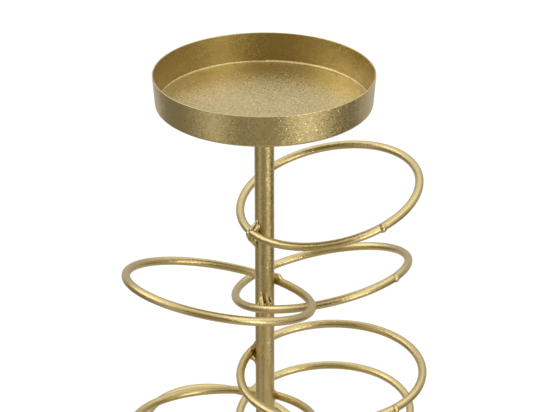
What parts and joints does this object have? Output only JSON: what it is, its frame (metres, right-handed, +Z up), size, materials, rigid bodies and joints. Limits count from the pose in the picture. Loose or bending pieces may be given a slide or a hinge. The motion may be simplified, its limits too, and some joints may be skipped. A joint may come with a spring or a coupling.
{
  "type": "candle holder",
  "caption": "Pillar candle holder: a shallow round pan on a slim stem, with tilted wire rings tack-welded round the stem one above another, on a round felted base.",
  "frame": {"origin": "centre of the felt's underside, on the stem's axis", "axes": "+Z up along the stem; -Y towards the viewer of the picture, +X to that viewer's right"},
  "size_m": [0.161, 0.1696, 0.33],
  "materials": {
    "gold_paint": "satin gold metallic paint with a fine sparkle, over welded steel",
    "felt": "dark pressed felt"
  },
  "bodies": {
    "root": {"candle_pan": "gold_paint", "stem_tube": "gold_paint", "base_plate": "gold_paint", "pan_weld": "gold_paint", "base_weld": "gold_paint", "ring_1": "gold_paint", "ring_2": "gold_paint", "ring_3": "gold_paint", "ring_4": "gold_paint", "ring_5": "gold_paint", "ring_6": "gold_paint", "ring_7": "gold_paint", "ring_8": "gold_paint", "ring_weld_1": "gold_paint", "ring_weld_2": "gold_paint", "ring_weld_3": "gold_paint", "ring_weld_4": "gold_paint", "ring_weld_5": "gold_paint", "ring_weld_6": "gold_paint", "ring_weld_7": "gold_paint", "ring_weld_8": "gold_paint", "felt_pad": "felt"}
  },
  "joints": []
}
